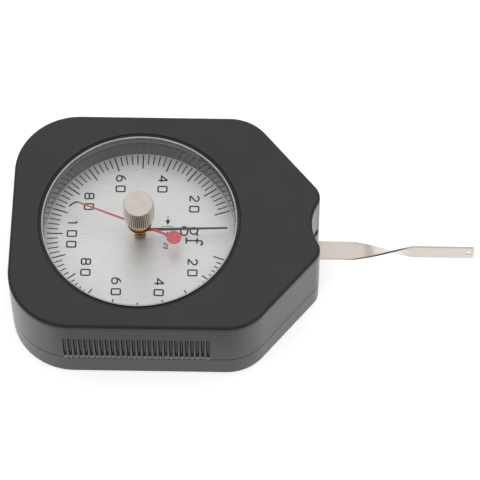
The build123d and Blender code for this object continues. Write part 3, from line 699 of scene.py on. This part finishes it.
def scale_numbers(signs):
    """20 to 80 on each side and 100 at the far end."""
    marks = []
    half = DIGIT_PITCH / 2
    for text, (x, y) in PAIR_PLACES.items():
        for side in (1, -1):
            for digit, shift in zip(text, (half, -half)):
                marks += set_glyph(signs[digit], (x, side * y + shift), DIGIT_STROKE)
    for digit, shift in zip("100", (DIGIT_PITCH, 0, -DIGIT_PITCH)):
        place = (HUNDRED_PLACE[0], HUNDRED_PLACE[1] + shift)
        marks += set_glyph(signs[digit], place, DIGIT_STROKE)
    return marks


def division_mark(signs):
    """Two lines with an arrow to each, and the value of one division beside them."""
    gap, head, shaft = DIVISION_ARROW
    marks = []
    for line, way in zip(DIVISION_LINES, (1, -1)):
        marks.append(strip([(DIVISION_X - DIVISION_HALF, line), (DIVISION_X + DIVISION_HALF, line)],
                           DIVISION_LINE_STROKE))
        tip = line + way * gap
        base = tip + way * head
        marks.append(strip([(DIVISION_X, base), (DIVISION_X, base + way * shaft)], DIVISION_STROKE))
        corners = np.array([(DIVISION_X, tip), (DIVISION_X + way * DIVISION_HEAD_HALF, base),
                            (DIVISION_X, base), (DIVISION_X - way * DIVISION_HEAD_HALF, base)])
        marks.append((corners, [np.array([(0, 1, 2, 3)])]))
    x, y = DIVISION_LABEL
    for sign, shift in (("2", 0.0), ("small_g", -DIVISION_LABEL_PITCH)):
        marks += set_glyph(signs[sign], (x, y + shift), DIVISION_STROKE, DIVISION_LABEL_SCALE,
                           DIVISION_LABEL_SLANT)
    return marks


def add_dial_print():
    """Scale, numbers, unit and division mark."""
    finish = material("printing_ink", ink)
    signs = glyphs()
    print_on_dial("scale_ticks", scale_ticks(), finish)
    print_on_dial("scale_numbers", scale_numbers(signs), finish)
    unit = set_glyph(signs["g"], UNIT_G_PLACE, UNIT_STROKE)
    unit += set_glyph(signs["f"], UNIT_F_PLACE, UNIT_STROKE)
    print_on_dial("unit_mark", unit, finish)
    print_on_dial("division_mark", division_mark(signs), finish)


# ------------------------------------------------------------------ knob, red pointer and cover screws
def add_knob(finish):
    """Knurled knob: at each height the radius is the smaller of the chamfered outline's and the
    ridges', and each ridge falls in a straight line to the groove beside it."""
    step = np.arange(KNOB_RIDGES * KNOB_RIDGE_STEPS)
    angle = step * 2 * pi / len(step)
    fall = 1 - np.abs(step % KNOB_RIDGE_STEPS * 2 / KNOB_RIDGE_STEPS - 1)
    ridge = KNOB_RADIUS - KNOB_RIDGE_DEPTH * fall
    depth = np.linspace(KNOB_CHAMFER, 0, KNOB_CHAMFER_RINGS)
    edge = KNOB_RADIUS - depth
    outline = np.concatenate([[KNOB_RADIUS / 2], edge, edge[::-1], [KNOB_RADIUS / 2]])
    height = np.concatenate([[KNOB_FOOT], KNOB_FOOT + KNOB_CHAMFER - depth,
                             (KNOB_TOP - KNOB_CHAMFER + depth)[::-1], [KNOB_TOP]])
    radius = np.minimum(outline[:, None], ridge[None, :])
    points = turned_points(radius, height[:, None], angle)
    knob = mesh_object("knurled_knob", points, turned_faces(*radius.shape), finish)
    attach(knob, "peak")
    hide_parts("reset_knob")


def bevelled_disc(radius, foot, top, x):
    """Flat disc round an upright axis, its rims cut off at 45 degrees."""
    angle = np.linspace(0, 2 * pi, PEAK_COLUMNS, endpoint=False)
    outline = np.array([radius - PEAK_BEVEL, radius, radius, radius - PEAK_BEVEL])
    level = np.array([foot, foot + PEAK_BEVEL, top - PEAK_BEVEL, top])
    outline = np.repeat(outline[:, None], len(angle), axis=1)
    return turned_points(outline, level[:, None], angle, (x, 0.0)), turned_faces(*outline.shape)


def add_peak_pointer(finish):
    """Red strip that rises past the nut along a smooth step, 3t^2 - 2t^3 high at the share t of its
    run, goes on level and ends in a hook, with a disc as its tail."""
    run = np.linspace(0, 1, PEAK_CRANK_STEPS)
    crank = PEAK_CRANK[0] + (PEAK_CRANK[1] - PEAK_CRANK[0]) * run
    height = PEAK_LOW + (PEAK_HIGH - PEAK_LOW) * (3 - 2 * run) * run ** 2
    start = np.concatenate([[(PEAK_START, 0.0, PEAK_LOW)],
                            np.stack([crank, np.zeros(PEAK_CRANK_STEPS), height], axis=1)])
    arm = np.concatenate([start, [(PEAK_MIDDLE, 0, PEAK_HIGH), (PEAK_BEND, 0, PEAK_HIGH)], PEAK_HOOK])
    tail = np.concatenate([start, [(PEAK_TAIL_ORBIT, 0, PEAK_HIGH)]]) * (-1, 1, 1)
    arm_width = np.interp(arm[:, 0], (0, PEAK_BEND), (PEAK_ROOT_WIDTH, PEAK_TIP_WIDTH))
    half = PEAK_THICKNESS / 2 + PEAK_TAIL_PROUD
    parts = [carried_bar(arm, arm_width, PEAK_THICKNESS),
             carried_bar(tail, PEAK_TAIL_WIDTH, PEAK_THICKNESS),
             bevelled_disc(*PEAK_HUB, 0.0),
             bevelled_disc(PEAK_TAIL_RADIUS, PEAK_HIGH - half, PEAK_HIGH + half, -PEAK_TAIL_ORBIT)]
    points, faces = joined(parts)
    along, aside = cos(radians(PEAK_ANGLE)), sin(radians(PEAK_ANGLE))
    turn = np.array([[along, aside, 0], [-aside, along, 0], [0, 0, 1]])
    pointer = mesh_object("hooked_red_pointer", points @ turn, faces, finish)
    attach(pointer, "peak")
    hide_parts("peak_pointer")


def add_cover_screws(finish):
    """Pan-head screws: a turned outline whose face sinks inside a cross with leaning walls."""
    angle = np.linspace(0, 2 * pi, SCREW_COLUMNS, endpoint=False)
    turn = np.linspace(0, pi / 2, SCREW_EDGE_RINGS + 1)[1:]
    inner = SCREW_HEAD_RADIUS - SCREW_HEAD_EDGE
    outline = np.concatenate([np.linspace(inner / SCREW_FACE_RINGS, inner, SCREW_FACE_RINGS),
                              inner + SCREW_HEAD_EDGE * np.sin(turn),
                              [SCREW_HEAD_RADIUS, SCREW_RADIUS, SCREW_RADIUS, SCREW_RADIUS - SCREW_POINT]])
    height = np.concatenate([np.full(SCREW_FACE_RINGS, SCREW_HEAD_FACE),
                             SCREW_HEAD_FACE + SCREW_HEAD_EDGE * (1 - np.cos(turn)),
                             [SCREW_SEAT, SCREW_SEAT, SCREW_END - SCREW_POINT, SCREW_END]])
    radius = np.repeat(outline[:, None], len(angle), axis=1)
    x, y = np.abs(radius * np.cos(angle)), np.abs(radius * np.sin(angle))
    near, far = np.minimum(x, y), np.maximum(x, y)
    sunk = np.clip((CROSS_HALF - near) / CROSS_SLOPE, 0, 1)
    sunk *= np.clip((CROSS_ARM - far) / (2 * CROSS_SLOPE), 0, 1)
    sunk[SCREW_FACE_RINGS:] = 0
    level = height[:, None] + CROSS_DEPTH * sunk
    faces = turned_faces(*radius.shape)
    parts = [(turned_points(radius, level, angle, spot), faces) for spot in SCREW_SPOTS]
    screws = mesh_object("cross_head_screws", *joined(parts), finish)
    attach(screws, "case")
    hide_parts("cover_screws")


# ------------------------------------------------------------------ finishes
FINISHES = {
    "case_plastic": (case_plastic, ["front_shell", "back_cover"]),
    "clear_window": (window, ["crystal"]),
    "bright_ring": (ring_metal, ["bezel_ring"]),
    "black_seal": (seal_black, ["crystal_gasket"]),
    "dial_silver": (dial_silver, ["dial_plate"]),
    "lever_steel": (lever_steel, ["measuring_lever"]),
    "pointer_black": (pointer_black, ["main_pointer"]),
    "pointer_red": (pointer_red, ["peak_pointer"]),
    "knob_nickel": (knob_nickel, ["reset_knob"]),
    "turned_brass": (turned((0.56, 0.34, 0.11), (0.70, 0.47, 0.18), 0.1, 0.2),
                     ["pillars", "lever_bearings", "pointer_bearings", "main_spring_stud",
                      "hairspring_stud", "main_spring_collet", "hairspring_collet", "lever_hub",
                      "knob_bush", "bush_nut", "knob_stem", "peak_pointer_hub"]),
    "dark_brass": (turned((0.17, 0.115, 0.06), (0.28, 0.195, 0.10), 0.18, 0.3), ["main_pointer_hub"]),
    "rolled_brass": (rolled((0.58, 0.40, 0.16), (0.70, 0.51, 0.24), 0.28, 0.4),
                     ["front_plate", "rear_plate", "sector_gear"]),
    "turned_steel": (turned((0.42, 0.42, 0.42), (0.56, 0.55, 0.54), 0.24, 0.36),
                     ["cover_screws", "pillar_screws", "movement_screws", "stop_pins", "lever_arbor",
                      "lever_screws", "pointer_arbor", "friction_washer"]),
    "strip_steel": (rolled((0.52, 0.48, 0.43), (0.60, 0.55, 0.49), 0.18, 0.28),
                    ["main_spring", "hairspring"]),
}


def dress():
    """Gives every CAD node its material, and each piece that replaces a node that node's."""
    made = {}
    for name, (build, wearers) in FINISHES.items():
        made[name] = material(name, build)
        for wearer in wearers:
            for place in nodes[wearer].material_slots:
                place.material = made[name]
    add_knob(made["knob_nickel"])
    add_peak_pointer(made["pointer_red"])
    add_cover_screws(made["turned_steel"])


# ------------------------------------------------------------------ the scene
bpy.context.scene.view_settings.view_transform = "Standard"
add_camera()
add_light()
add_floor()
dress()
add_dial_print()
